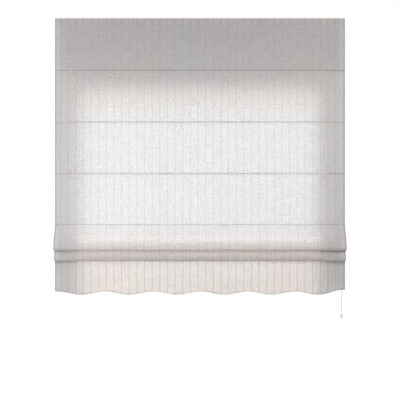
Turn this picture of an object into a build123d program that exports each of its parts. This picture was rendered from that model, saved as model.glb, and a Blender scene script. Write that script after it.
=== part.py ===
"""Roman blind, 1.3 m wide, drawn up so that its two lowest pleats are gathered.

A linen blind hangs by a touch tape from an aluminium headrail on three wall brackets. Five rods and a
bottom bar lie in pockets sewn across its back, with four rows of rings for the lift cords. The cords run
along the rail to a cord lock, and from there to one pull cord with a bell.

Millimetres, +X right and +Z up as seen from the room, the wall at y = 0 and the room towards -Y.
The origin is the middle wall screw, on the wall.
"""
import os
from math import cos, degrees, pi, radians, sin, sqrt

from build123d import *

# Cloth: one linen panel, hemmed at the sides, with a valance below the bottom bar
blind_width = 1300.0
cloth_thickness = 0.8
first_drop = 233.5  # heading edge to the first rod line
pleat_drop = 231.0  # rod line to rod line where the cloth hangs flat
flat_pleats = 4
raise_travel = 186.0  # how far a rod rises towards the one above when the blind is drawn right up
gather_pitches = (76.0, 24.0)  # rod line to rod line where the cloth is gathered
fold_drops = (111.5, 84.5)  # rod line to the fold's lower edge
fold_reaches = (44.5, 20.0)  # how far the lower front corner stands forward, before its rounding
fold_widths = (24.0, 15.0)  # front to back across the fold's lower edge
fold_radius_share = 0.42  # corner radius of the fold's lower edge, of its width
fold_turn_shares = (0.64, 0.57)  # where the front ends and the return starts, of the fold's width
pleat_bow = 7.0  # forward swell of a flat pleat between its rods
seam_gap = 0.3
heading_height = 30.0
heading_rise = 5.0  # heading edge above the rail
valance_drop = 217.5  # bottom line to the lowest point of the hem
hem_waves = 6
hem_wave_depth = 16.0
hem_end_rise = 8.0  # right end of the hem above its other crests
hem_ease_share = 0.364  # handle of the wave's curve, of half a wave
side_hem_width = 22.0

# Headrail: aluminium extrusion with an open mouth below and a nut channel above
rail_depth = 26.0
rail_height = 26.0
rail_wall = 1.4
rail_lip = 4.5
rail_end_inset = 5.0
nut_slot = 4.4
nut_channel_height = 3.8
nut_channel_wall = 1.0
cap_thickness = 2.0
cap_plug_depth = 3.0
cap_plug_wall = 1.6
cap_corner = 1.5

# Touch tape: hook half on the rail, loop half on the cloth
tape_height = 20.0
tape_thickness = 1.5

# Wall brackets and their fastenings
bracket_inset = 200.0  # outer bracket in from the cloth's edge
bracket_width = 25.0
bracket_thickness = 2.0
bracket_bend = 3.5
bracket_arm_overhang = 7.0  # past the bolt
bracket_foot = 9.0  # below the wall screw
bracket_corner = 4.0
screw_to_rail = 8.0  # wall screw up to the rail's underside
screw_hole_radius = 2.5
rail_wall_gap = 0.5  # bracket leg to the rail's back
bolt_radius = 2.0
bolt_head_radius = 4.0
bolt_head_height = 2.4
bolt_tip = 1.0
bolt_clearance = 0.2
bolt_cross_width = 1.0
bolt_cross_length = 4.6
bolt_cross_depth = 1.2
nut_width = 7.0
nut_thickness = 2.2
nut_clearance = 0.3

# Rod pockets, rods and rings
pocket_wall = 0.4
pocket_radius = 2.6
pocket_inset = 26.0  # pocket end in from the cloth's edge
stitch_tab = 1.0  # stitched tab above and below the rod line
rod_radius = 2.0
rod_inset = 30.0
bar_height = 24.0
bar_thickness = 3.0
bar_clearance = 0.4
ring_outer_radius = 6.0
ring_width = 2.0
ring_thickness = 2.0
ring_stem_width = 4.0
bottom_ring_drop = 10.0
orb_radius = 5.0
orb_flat_share = 0.66  # height of the orb's flat top above its middle, of its radius

# Lift cords and the guides that turn them into the rail
lift_line_count = 4
lift_line_inset = 130.0  # outer lift line in from the cloth's edge
cord_radius = 0.6
cord_pitch = 1.5  # between neighbouring cords, front to back
cord_run_drop = 11.0  # rail top to the cords that run along it
fit = 0.3
guide_turn = 6.0  # radius of the cord's turn, at its middle
guide_left = 6.0
guide_right = 12.0
guide_foot = 2.0  # below the rail
guide_plate_thickness = 2.0
guide_plate_overhang = 3.0
guide_corner = 1.5

# Cord lock: pulley, axle and knurled roller in a moulded housing
pull_inset = 11.5  # pull cord in from the cloth's edge
lock_drop = 12.0  # below the rail
lock_wall = 2.0
lock_side_wall = 1.6
lock_room = 0.6
lock_flange_thickness = 1.6
lock_corner = 1.2
lock_window_height = 4.0
pulley_groove_radius = 5.0
pulley_flange_radius = 6.5
pulley_flange_width = 0.8
axle_radius = 1.5
axle_clearance = 0.15
roller_radius = 3.0
roller_pin_radius = 1.0
roller_slot_clearance = 0.15
roller_travel = 3.5
roller_lean = 30.0  # slot's lean from upright, in degrees
knurl_count = 16
knurl_depth = 0.3

# Pull: connector, cord and bell
connector_drop = 430.0  # heading edge to the connector's top
connector_radius = 5.0
connector_length = 24.0
connector_waist_radius = 4.2
connector_corner = 1.4
pull_cord_radius = 0.9
bell_height = 15.5
bell_radius = 7.3
bell_neck_radius = 2.9
bell_crown = 3.5  # height of the straight neck
bell_rim = 2.2  # height of the straight rim
bell_fall_shares = (0.6, 0.25)  # handles of the flank's curve, of its height
bell_flare_share = 0.35  # inset of the lower handle, of the flare
bell_bore_clearance = 0.25
bell_recess_radius = 4.2
bell_recess_depth = 6.0
bell_bottom = 1345.0  # heading edge to the bell's lowest point

cut_overrun = 5.0

# Levels and planes worked out from the sizes above
rail_bottom = screw_to_rail
rail_top = rail_bottom + rail_height
rail_middle_z = (rail_bottom + rail_top) / 2
heading_top = rail_top + heading_rise
rail_back = -(bracket_thickness + rail_wall_gap)
rail_front = rail_back - rail_depth
rail_middle_y = (rail_back + rail_front) / 2
rail_half = blind_width / 2 - rail_end_inset
cloth_back = rail_front - 2 * tape_thickness
cloth_front = cloth_back - cloth_thickness
lip_top = rail_bottom + rail_wall
mouth_width = rail_depth - 2 * (rail_wall + rail_lip)
channel_width = rail_depth - 2 * rail_wall
channel_low = rail_top - rail_wall - nut_channel_height - nut_channel_wall
cord_run_z = rail_top - cord_run_drop
bracket_pitch = blind_width / 2 - bracket_inset
bracket_places = (-bracket_pitch, 0, bracket_pitch)
pull_x = blind_width / 2 - pull_inset
first_lift_line = lift_line_inset - blind_width / 2
lift_line_pitch = -2 * first_lift_line / (lift_line_count - 1)
lift_lines = [first_lift_line + place * lift_line_pitch for place in range(lift_line_count)]

line_levels = [heading_top - first_drop - pleat * pleat_drop for pleat in range(flat_pleats)]
for pitch in gather_pitches:
    line_levels.append(line_levels[-1] - pitch)
bottom_line = line_levels[-1]
rod_lines = line_levels[:-1]
hem_low = bottom_line - valance_drop


def section_along_x(face, x_from, x_to):
    """Extrude a section drawn in (y, z) from one x to another."""
    return extrude(Plane.YZ.offset(x_from) * face, amount=x_to - x_from)


def section_along_y(face, y_from, y_to):
    """Extrude an outline drawn in (x, z) from a front y to a back y."""
    return extrude(Plane.XZ.offset(-y_to) * face, amount=y_to - y_from)


def block(low, high):
    """Box between two corners."""
    size = [b - a for a, b in zip(low, high)]
    middle = [(a + b) / 2 for a, b in zip(low, high)]
    return Pos(*middle) * Box(*size)


def area(low, high):
    """Rectangle between two corners of a section."""
    middle = [(a + b) / 2 for a, b in zip(low, high)]
    return Pos(*middle) * Rectangle(high[0] - low[0], high[1] - low[1])


def cross_pin(radius, x, z, y_from, y_to):
    """Round pin that lies front to back."""
    return section_along_y(Pos(x, z) * Circle(radius), y_from, y_to)


def upright_pin(radius, x, y, z_from, z_to):
    """Round pin that stands upright."""
    return Pos(x, y, (z_from + z_to) / 2) * Cylinder(radius, z_to - z_from)


def group(solids):
    """Separate like solids kept together as one piece."""
    return Compound(children=[Part(solid.wrapped) for solid in solids])


# Headrail
def make_headrail():
    top_in = rail_top - rail_wall
    section = area((rail_front, rail_bottom), (rail_back, rail_top))
    section -= area((rail_front + rail_wall, lip_top), (rail_back - rail_wall, top_in))
    half_mouth = mouth_width / 2
    section -= area(
        (rail_middle_y - half_mouth, rail_bottom - cut_overrun),
        (rail_middle_y + half_mouth, lip_top),
    )
    half_channel = nut_width / 2 + nut_clearance
    half_out = half_channel + nut_channel_wall
    section += area((rail_middle_y - half_out, channel_low), (rail_middle_y + half_out, top_in))
    section -= area(
        (rail_middle_y - half_channel, top_in - nut_channel_height),
        (rail_middle_y + half_channel, top_in),
    )
    half_slot = nut_slot / 2
    section -= area((rail_middle_y - half_slot, top_in), (rail_middle_y + half_slot, rail_top + cut_overrun))
    return section_along_x(section, -rail_half, rail_half)


def make_end_cap(side):
    plate = area((rail_front, rail_bottom), (rail_back, rail_top))
    plate = fillet(plate.vertices(), cap_corner)
    plug_low = (rail_front + rail_wall + fit, lip_top + fit)
    plug_high = (rail_back - rail_wall - fit, channel_low - fit)
    plug = area(plug_low, plug_high)
    plug -= area([v + cap_plug_wall for v in plug_low], [v - cap_plug_wall for v in plug_high])
    ends = sorted((side * rail_half, side * (rail_half + cap_thickness)))
    plug_ends = sorted((side * rail_half, side * (rail_half - cap_plug_depth)))
    return section_along_x(plate, *ends) + section_along_x(plug, *plug_ends)


def make_tape(back):
    half = tape_height / 2
    section = area((back - tape_thickness, rail_middle_z - half), (back, rail_middle_z + half))
    tape_half = blind_width / 2 - side_hem_width - fit
    return section_along_x(section, -tape_half, tape_half)


# Wall brackets
def make_bracket(x):
    arm_top = rail_top + bracket_thickness
    arm_end = rail_middle_y - bracket_arm_overhang
    outline = area((-bracket_thickness, -bracket_foot), (0, arm_top))
    outline += area((arm_end, rail_top), (0, arm_top))
    outer_corner = outline.vertices().sort_by_distance((0, arm_top))[0]
    outline = fillet(outer_corner, bracket_bend)
    half = bracket_width / 2
    bracket = section_along_x(outline, x - half, x + half)
    foot_edges = bracket.edges().filter_by(Axis.Y).group_by(Axis.Z)[0]
    bracket = fillet(foot_edges, bracket_corner)
    arm_edges = bracket.edges().filter_by(Axis.Z).group_by(Axis.Y)[0]
    bracket = fillet(arm_edges, bracket_corner)
    bracket -= cross_pin(screw_hole_radius, x, 0, -bracket_thickness - cut_overrun, cut_overrun)
    bolt_hole = bolt_radius + bolt_clearance
    bracket -= upright_pin(bolt_hole, x, rail_middle_y, rail_top - cut_overrun, arm_top + cut_overrun)
    return bracket


def make_bolt(x):
    seat = rail_top + bracket_thickness
    tip = rail_top - rail_wall - nut_thickness - bolt_tip
    head_top = seat + bolt_head_height
    bolt = upright_pin(bolt_radius, x, rail_middle_y, tip, seat)
    bolt += upright_pin(bolt_head_radius, x, rail_middle_y, seat, head_top)
    bolt = chamfer(bolt.edges().filter_by(GeomType.CIRCLE).sort_by(Axis.Z)[-1], bolt_head_height / 3)
    middle = Pos(x, rail_middle_y, head_top - bolt_cross_depth / 2 + cut_overrun / 2)
    cross_height = bolt_cross_depth + cut_overrun
    bolt -= middle * Box(bolt_cross_length, bolt_cross_width, cross_height)
    bolt -= middle * Box(bolt_cross_width, bolt_cross_length, cross_height)
    return bolt


def make_nut(x):
    top = rail_top - rail_wall
    nut = Pos(x, rail_middle_y, top - nut_thickness / 2) * Box(nut_width, nut_width, nut_thickness)
    bore = bolt_radius + bolt_clearance
    return nut - upright_pin(bore, x, rail_middle_y, top - nut_thickness - cut_overrun, top + cut_overrun)


# Cord guides: moulded saddles that drop into the rail and sit on its lips
def make_cord_guide(x):
    half_boss = mouth_width / 2 - fit
    saddle_top = cord_run_z - cord_radius - fit
    foot = rail_bottom - guide_foot
    turn_radius = guide_turn - cord_radius - fit
    throat = cord_radius + fit
    saddle = area((x - guide_left, foot), (x + guide_right, saddle_top))
    saddle -= area((x - throat, foot - cut_overrun), (x + throat, saddle_top + cut_overrun))
    lead_in = saddle.vertices().sort_by_distance((x + throat, saddle_top))[0]
    saddle = fillet(lead_in, turn_radius)
    bell_mouth = saddle.vertices().sort_by_distance((x, foot))[:2]
    saddle = chamfer(bell_mouth, guide_foot / 2)
    guide = section_along_y(saddle, rail_middle_y - half_boss, rail_middle_y + half_boss)
    cheek = area((x - guide_left, foot), (x + guide_right, saddle_top - guide_turn))
    half_slot = cord_pitch * (len(lift_lines) - 1) / 2 + throat
    for side in (-1, 1):
        ends = sorted((rail_middle_y + side * half_slot, rail_middle_y + side * half_boss))
        guide += section_along_y(cheek, *ends)
    half_plate = channel_width / 2 - fit
    plate = block(
        (x - guide_left - guide_plate_overhang, rail_middle_y - half_plate, lip_top),
        (
            x + guide_right + guide_plate_overhang,
            rail_middle_y + half_plate,
            lip_top + guide_plate_thickness,
        ),
    )
    plate = fillet(plate.edges().filter_by(Axis.Z), guide_corner)
    plate -= block(
        (x - throat, rail_middle_y - half_slot, foot - cut_overrun),
        (x + throat, rail_middle_y + half_slot, saddle_top + cut_overrun),
    )
    return guide + plate


# Cord lock
pulley_x = pull_x - pulley_groove_radius - cord_radius
pulley_z = cord_run_z - pulley_groove_radius - cord_radius
pulley_half = cord_pitch * (len(lift_lines) - 1) / 2 + cord_radius + fit + pulley_flange_width
lock_half_in = pulley_half + fit
lock_half_out = lock_half_in + lock_side_wall
lock_low = rail_bottom - lock_drop
roller_x = pull_x - cord_radius - fit - roller_radius
roller_reach = pulley_flange_radius + roller_radius + lock_room
roller_z = pulley_z - sqrt(roller_reach**2 - (roller_x - pulley_x) ** 2)
roller_end_x = roller_x - roller_travel * sin(radians(roller_lean))
roller_end_z = roller_z - roller_travel * cos(radians(roller_lean))


def make_lock_housing():
    right_in = pull_x + cord_radius + fit
    left_in = pulley_x - pulley_flange_radius - lock_room
    top_in = pulley_z + pulley_flange_radius + lock_room
    left, right = left_in - lock_wall, right_in + lock_wall
    front, back = rail_middle_y - lock_half_out, rail_middle_y + lock_half_out
    housing = block((left, front, lock_low), (right, back, top_in + lock_wall))
    housing = fillet(housing.edges().filter_by(Axis.Y).group_by(Axis.Z)[0], lock_corner)
    half_flange = channel_width / 2 - fit
    housing += block(
        (left, rail_middle_y - half_flange, lip_top),
        (right, rail_middle_y + half_flange, lip_top + lock_flange_thickness),
    )
    housing -= block(
        (left_in, rail_middle_y - lock_half_in, lock_low - cut_overrun),
        (right_in, rail_middle_y + lock_half_in, top_in),
    )
    half_window = lock_window_height / 2
    housing -= block(
        (left - cut_overrun, rail_middle_y - lock_half_in, cord_run_z - half_window),
        (left_in, rail_middle_y + lock_half_in, cord_run_z + half_window),
    )
    housing -= cross_pin(axle_radius, pulley_x, pulley_z, front - cut_overrun, back + cut_overrun)
    slot_half = roller_pin_radius + roller_slot_clearance
    middle = Pos((roller_x + roller_end_x) / 2, (roller_z + roller_end_z) / 2)
    slot = SlotCenterToCenter(roller_travel, 2 * slot_half)
    slot = middle * Rot(0, 0, degrees(pi / 2) - roller_lean) * slot
    housing -= section_along_y(slot, front - cut_overrun, back + cut_overrun)
    return housing


def make_lock_axle():
    end = lock_half_out
    return cross_pin(axle_radius, pulley_x, pulley_z, rail_middle_y - end, rail_middle_y + end)


def make_lock_pulley():
    front, back = rail_middle_y - pulley_half, rail_middle_y + pulley_half
    pulley = cross_pin(pulley_groove_radius, pulley_x, pulley_z, front, back)
    pulley += cross_pin(pulley_flange_radius, pulley_x, pulley_z, front, front + pulley_flange_width)
    pulley += cross_pin(pulley_flange_radius, pulley_x, pulley_z, back - pulley_flange_width, back)
    bore = axle_radius + axle_clearance
    return pulley - cross_pin(bore, pulley_x, pulley_z, front - cut_overrun, back + cut_overrun)


def make_lock_roller():
    front, back = rail_middle_y - pulley_half, rail_middle_y + pulley_half
    end = lock_half_out
    outline = Circle(roller_radius)
    groove = Rectangle(2 * knurl_depth, 2 * knurl_depth)
    for tooth in range(knurl_count):
        turn = Rot(0, 0, degrees(2 * pi * tooth / knurl_count))
        outline -= turn * Pos(roller_radius, 0) * Rot(0, 0, degrees(pi / 4)) * groove
    roller = section_along_y(Pos(roller_x, roller_z) * outline, front, back)
    roller += cross_pin(roller_pin_radius, roller_x, roller_z, rail_middle_y - end, rail_middle_y + end)
    return roller


# Cloth, cut at the rod lines and at the pleats' lower edges because each part moves by itself
def cloth_solid(path):
    """Cloth on the room side of a path drawn downwards in (y, z), with a doubled hem along each side."""
    half = blind_width / 2
    back_line = Wire(path.edges())
    single = make_face(back_line.offset_2d(cloth_thickness, side=Side.RIGHT, closed=True))
    doubled = make_face(back_line.offset_2d(cloth_thickness, side=Side.LEFT, closed=True))
    cloth = section_along_x(single, -half, half)
    for start in (-half, half - side_hem_width):
        cloth += section_along_x(doubled, start, start + side_hem_width)
    return cloth


def swell(high, low):
    """Flat pleat between two levels, with its slight forward bow."""
    crown = (cloth_back - pleat_bow, (high + low) / 2)
    return ThreePointArc((cloth_back, high), crown, (cloth_back, low))


def make_flat_pleat(place):
    """Front of a flat pleat and its return, which rises behind the front when the blind is drawn up."""
    low = line_levels[place] + seam_gap
    if place == 0:
        heading_end = heading_top - heading_height
        heading = Line((cloth_back, heading_top), (cloth_back, heading_end))
        cloth = cloth_solid(heading + swell(heading_end, low))
    else:
        cloth = cloth_solid(swell(line_levels[place - 1] - seam_gap, low))
    turn = line_levels[place] + raise_travel / 2
    reach = blind_width
    above = block((-reach, -reach, turn - seam_gap / 2), (reach, reach, heading_top + cut_overrun))
    below = block((-reach, -reach, low - cut_overrun), (reach, reach, turn + seam_gap / 2))
    return cloth - below, cloth - above


def fold_paths(fold):
    """Gathered pleat: a front that leans forward to a rounded lower edge, and a return that rises to the rod."""
    high = line_levels[flat_pleats - 1 + fold] - seam_gap
    edge = line_levels[flat_pleats - 1 + fold] - fold_drops[fold] + cloth_thickness
    front = cloth_back - fold_reaches[fold]
    back = front + fold_widths[fold]
    turn = front + fold_widths[fold] * fold_turn_shares[fold]
    end = (cloth_back - 2 * cloth_thickness - seam_gap, line_levels[flat_pleats + fold])
    corner = fold_widths[fold] * fold_radius_share
    front_path = FilletPolyline((cloth_back, high), (front, edge), (turn - seam_gap / 2, edge), radius=corner)
    return_path = FilletPolyline((turn + seam_gap / 2, edge), (back, edge), end, radius=corner)
    return front_path, return_path


def make_valance():
    half = blind_width / 2
    high = bottom_line - seam_gap
    half_wave = blind_width / (2 * hem_waves)
    ease = half_wave * hem_ease_share
    hem_high = hem_low + hem_wave_depth
    turns = [hem_high, hem_low] * hem_waves + [hem_high + hem_end_rise]
    outline = Polyline((half, turns[-1]), (half, high), (-half, high), (-half, turns[0]))
    for place, (start, end) in enumerate(zip(turns, turns[1:])):
        left = -half + place * half_wave
        right = left + half_wave
        outline += Bezier((left, start), (left + ease, start), (right - ease, end), (right, end))
    valance = section_along_y(make_face(outline), cloth_front, cloth_back)
    for start, low in ((-half, turns[0]), (half - side_hem_width, turns[-1])):
        valance += block(
            (start, cloth_back, low),
            (start + side_hem_width, cloth_back + cloth_thickness, high),
        )
    return valance


# Rod pockets, rods, bottom bar and rings
pocket_half = blind_width / 2 - pocket_inset
rod_half = blind_width / 2 - rod_inset
tube_y = cloth_back + pocket_radius
tube_drop = stitch_tab + pocket_radius
tube_bore = pocket_radius - pocket_wall
bar_pocket_depth = bar_thickness + 2 * (bar_clearance + pocket_wall)
bar_pocket_height = bar_height + 2 * (bar_clearance + pocket_wall)
bar_pocket_top = bottom_line - stitch_tab


def make_pocket(line):
    tube_z = line - tube_drop
    section = Pos(tube_y, tube_z) * Circle(pocket_radius)
    section += area((cloth_back, tube_z), (cloth_back + 2 * pocket_wall, line + stitch_tab))
    section -= Pos(tube_y, tube_z) * Circle(tube_bore)
    return section_along_x(section, -pocket_half, pocket_half)


def make_rod(line):
    rod_z = line - tube_drop - tube_bore + rod_radius
    return section_along_x(Pos(tube_y, rod_z) * Circle(rod_radius), -rod_half, rod_half)


def make_bar_pocket():
    low = (cloth_back, bar_pocket_top - bar_pocket_height)
    high = (cloth_back + bar_pocket_depth, bar_pocket_top)
    section = area(low, high)
    section -= area([v + pocket_wall for v in low], [v - pocket_wall for v in high])
    section += area((cloth_back, bar_pocket_top), (cloth_back + 2 * pocket_wall, bottom_line + stitch_tab))
    return section_along_x(section, -pocket_half, pocket_half)


def make_bottom_bar():
    middle_y = cloth_back + bar_pocket_depth / 2
    low_z = bar_pocket_top - bar_pocket_height + pocket_wall
    bar = Pos(middle_y, low_z + bar_height / 2) * Rectangle(bar_thickness, bar_height)
    bar = fillet(bar.vertices(), bar_thickness / 3)
    return section_along_x(bar, -rod_half, rod_half)


def make_ring(x, z, seat_y):
    """Moulded ring with a short stem that is sewn to the pocket."""
    hole_radius = ring_outer_radius - ring_width
    half = ring_thickness / 2
    ring = upright_pin(ring_outer_radius, x, rail_middle_y, z - half, z + half)
    half_stem = ring_stem_width / 2
    ring += block((x - half_stem, seat_y, z - half), (x + half_stem, rail_middle_y, z + half))
    return ring - upright_pin(hole_radius, x, rail_middle_y, z - cut_overrun, z + cut_overrun)


orb_seat = ring_outer_radius - ring_width
orb_z = bottom_line - bottom_ring_drop - ring_thickness / 2 - sqrt(orb_radius**2 - orb_seat**2)
orb_top = orb_z + orb_radius * orb_flat_share


def make_orb(x):
    """Ball that ties off a lift cord under its lowest ring."""
    ball = Pos(x, rail_middle_y, orb_z) * Sphere(orb_radius)
    reach = 2 * orb_radius
    return ball - block(
        (x - reach, rail_middle_y - reach, orb_top),
        (x + reach, rail_middle_y + reach, orb_top + reach),
    )


# Cords and the pull
connector_top = heading_top - connector_drop
connector_low = connector_top - connector_length
bell_low = heading_top - bell_bottom
bell_high = bell_low + bell_height
knot_high = bell_low + bell_recess_depth


def make_lift_cord(place):
    x = lift_lines[place]
    y = rail_middle_y + cord_pitch * (place - (len(lift_lines) - 1) / 2)
    route = [(x, y, orb_top), (x, y, cord_run_z), (pull_x, y, cord_run_z), (pull_x, y, connector_top)]
    path = FilletPolyline(*route, radius=[guide_turn, pulley_groove_radius + cord_radius])
    section = Plane(path @ 0, z_dir=path % 0) * Circle(cord_radius)
    return sweep(section, path=path)


def turned(outline):
    """Turn an outline drawn in (radius, z) about the pull cord's line."""
    at_cord = Plane((pull_x, rail_middle_y, 0), x_dir=(1, 0, 0), z_dir=(0, -1, 0))
    return revolve(at_cord * make_face(outline), axis=Axis((pull_x, rail_middle_y, 0), (0, 0, 1)))


def make_connector():
    middle = (connector_top + connector_low) / 2
    flank = ThreePointArc(
        (connector_radius, connector_top - connector_corner),
        (connector_waist_radius, middle),
        (connector_radius, connector_low + connector_corner),
    )
    inner = connector_radius - connector_corner
    top = Polyline((0, connector_top), (inner, connector_top), flank @ 0)
    bottom = Polyline(flank @ 1, (inner, connector_low), (0, connector_low), (0, connector_top))
    return turned(top + flank + bottom)


def make_pull_cord():
    return upright_pin(pull_cord_radius, pull_x, rail_middle_y, knot_high, connector_low)


def make_pull_bell():
    bore = pull_cord_radius + bell_bore_clearance
    neck_low = bell_high - bell_crown
    rim_high = bell_low + bell_rim
    crown = Polyline((bore, bell_high), (bell_neck_radius, bell_high), (bell_neck_radius, neck_low))
    fall = neck_low - rim_high
    flare = bell_radius - bell_neck_radius
    flank = Bezier(
        (bell_neck_radius, neck_low),
        (bell_neck_radius, neck_low - fall * bell_fall_shares[0]),
        (bell_radius - flare * bell_flare_share, rim_high + fall * bell_fall_shares[1]),
        (bell_radius, rim_high),
    )
    rim = Polyline(
        (bell_radius, rim_high),
        (bell_radius, bell_low),
        (bell_recess_radius, bell_low),
        (bell_recess_radius, knot_high),
        (bore, knot_high),
        (bore, bell_high),
    )
    return turned(crown + flank + rim)


def make_pull_knot():
    radius = bell_recess_radius - bell_bore_clearance
    knot = upright_pin(radius, pull_x, rail_middle_y, bell_low + bell_rim / 2, knot_high)
    return chamfer(knot.edges().filter_by(GeomType.CIRCLE), radius / 3)


# Assembly, one piece to a file
pieces = {
    "headrail": make_headrail(),
    "end_cap_left": make_end_cap(-1),
    "end_cap_right": make_end_cap(1),
    "hook_tape": make_tape(rail_front),
    "loop_tape": make_tape(rail_front - tape_thickness),
    "bracket_bolts": group(make_bolt(x) for x in bracket_places),
    "bracket_nuts": group(make_nut(x) for x in bracket_places),
    "lock_housing": make_lock_housing(),
    "lock_axle": make_lock_axle(),
    "lock_pulley": make_lock_pulley(),
    "lock_roller": make_lock_roller(),
    "valance": make_valance(),
    "bottom_pocket": make_bar_pocket(),
    "bottom_bar": make_bottom_bar(),
    "cord_orbs": group(make_orb(x) for x in lift_lines),
    "cord_connector": make_connector(),
    "pull_cord": make_pull_cord(),
    "pull_bell": make_pull_bell(),
    "pull_knot": make_pull_knot(),
}
for name, x in zip(("left", "middle", "right"), bracket_places):
    pieces[f"bracket_{name}"] = make_bracket(x)
for place, x in enumerate(lift_lines):
    pieces[f"cord_guide_{place + 1}"] = make_cord_guide(x)
    pieces[f"lift_cord_{place + 1}"] = make_lift_cord(place)
for place in range(flat_pleats):
    front, back = make_flat_pleat(place)
    pieces[f"panel_{place + 1}"] = front
    pieces[f"return_{place + 1}"] = back
for fold in range(len(gather_pitches)):
    front_path, return_path = fold_paths(fold)
    pieces[f"fold_{fold + 1}"] = cloth_solid(front_path)
    pieces[f"return_{flat_pleats + fold + 1}"] = cloth_solid(return_path)
    print(f"fold_{fold + 1}: {front_path.length:.1f} + {return_path.length:.1f} mm of cloth")
for place, line in enumerate(rod_lines):
    pieces[f"rod_{place + 1}"] = make_rod(line)
    pieces[f"pocket_{place + 1}"] = make_pocket(line)
    tube_back = tube_y + pocket_radius
    pieces[f"rings_{place + 1}"] = group(make_ring(x, line - tube_drop, tube_back) for x in lift_lines)
bottom_ring_z = bottom_line - bottom_ring_drop
pieces["bottom_rings"] = group(
    make_ring(x, bottom_ring_z, cloth_back + bar_pocket_depth) for x in lift_lines
)

os.makedirs("parts", exist_ok=True)
for name, solid in pieces.items():
    export_step(solid, f"parts/{name}.step")
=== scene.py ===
"""Roman blind of striped linen on a headrail, partly drawn up, with daylight behind it.

Metres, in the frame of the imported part: +X right and +Z up as seen from the room, the room towards -Y.
"""
from math import cos, pi, radians, sin, sqrt, tau

import bpy
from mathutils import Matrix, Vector


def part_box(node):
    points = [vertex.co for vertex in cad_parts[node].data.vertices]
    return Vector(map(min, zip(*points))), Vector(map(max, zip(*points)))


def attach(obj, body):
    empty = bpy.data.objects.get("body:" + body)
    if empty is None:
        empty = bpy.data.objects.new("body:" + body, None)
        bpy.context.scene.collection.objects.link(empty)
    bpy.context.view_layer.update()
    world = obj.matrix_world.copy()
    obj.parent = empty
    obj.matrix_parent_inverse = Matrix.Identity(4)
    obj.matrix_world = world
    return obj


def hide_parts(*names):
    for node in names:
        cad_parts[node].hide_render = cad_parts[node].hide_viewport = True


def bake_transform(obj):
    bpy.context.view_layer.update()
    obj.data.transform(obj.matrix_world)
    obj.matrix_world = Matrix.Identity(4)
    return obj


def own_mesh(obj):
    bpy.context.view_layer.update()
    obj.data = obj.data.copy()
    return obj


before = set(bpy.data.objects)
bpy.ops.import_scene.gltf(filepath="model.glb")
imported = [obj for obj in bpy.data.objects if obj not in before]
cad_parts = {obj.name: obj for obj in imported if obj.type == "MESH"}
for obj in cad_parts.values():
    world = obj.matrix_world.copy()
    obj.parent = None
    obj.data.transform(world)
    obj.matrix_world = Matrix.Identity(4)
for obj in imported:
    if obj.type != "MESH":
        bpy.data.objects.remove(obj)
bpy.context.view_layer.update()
MM = 0.001


# Headrail: an aluminium extrusion with a satin anodised skin, sawn to length.
# The die leaves fine lines along it, and the skin is a touch warmer than bare metal.
def paint(code):
    """Linear colour of an sRGB hex code."""
    parts = [int(code[place:place + 2], 16) / 255 for place in (1, 3, 5)]
    return [v / 12.92 if v <= 0.04045 else ((v + 0.055) / 1.055) ** 2.4 for v in parts] + [1.0]


def new_material(name):
    """Empty node material and its shader tree."""
    material = bpy.data.materials.new(name)
    material.use_nodes = True
    material.node_tree.nodes.clear()
    return material, material.node_tree


def add(tree, kind, settings=None, **sockets):
    """Add a node. Inputs are named, or numbered as in_0, and take a value or another node's output."""
    made = tree.nodes.new(kind)
    for key, value in (settings or {}).items():
        setattr(made, key, value)
    for key, value in sockets.items():
        name = int(key[3:]) if key.startswith("in_") else key.replace("_", " ")
        if isinstance(value, bpy.types.NodeSocket):
            tree.links.new(value, made.inputs[name])
        else:
            made.inputs[name].default_value = value
    return made


def two_tone(tree, share, first, second):
    """Colour that goes from one hex code to another by a share."""
    return add(
        tree, "ShaderNodeMix", {"data_type": "RGBA"}, in_0=share, in_6=paint(first), in_7=paint(second),
    ).outputs[2]


def dress(material, *names):
    """Give CAD nodes their finish."""
    for name in names:
        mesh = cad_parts[name].data
        mesh.materials.clear()
        mesh.materials.append(material)


anodised, tree = new_material("anodised_aluminium")
place = add(tree, "ShaderNodeTexCoord").outputs["Object"]
die_line = (400 * MM, 1.2 * MM, 1.2 * MM)
along_rail = add(tree, "ShaderNodeMapping", Vector=place, Scale=[1 / size for size in die_line])
die_lines = add(tree, "ShaderNodeTexNoise", Vector=along_rail.outputs[0], Scale=1.0, Detail=3.0)
gloss = add(tree, "ShaderNodeMapRange", Value=die_lines.outputs["Fac"], To_Min=0.28, To_Max=0.46)
skin = two_tone(tree, die_lines.outputs["Fac"], "#C9C8C5", "#DDDCD9")
relief = add(tree, "ShaderNodeBump", Height=die_lines.outputs["Fac"], Strength=0.25, Distance=0.05 * MM)
metal = add(
    tree, "ShaderNodeBsdfPrincipled", Metallic=1.0,
    Base_Color=skin, Roughness=gloss.outputs[0], Normal=relief.outputs[0],
)
add(tree, "ShaderNodeOutputMaterial", Surface=metal.outputs[0])
dress(anodised, "headrail")

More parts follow.
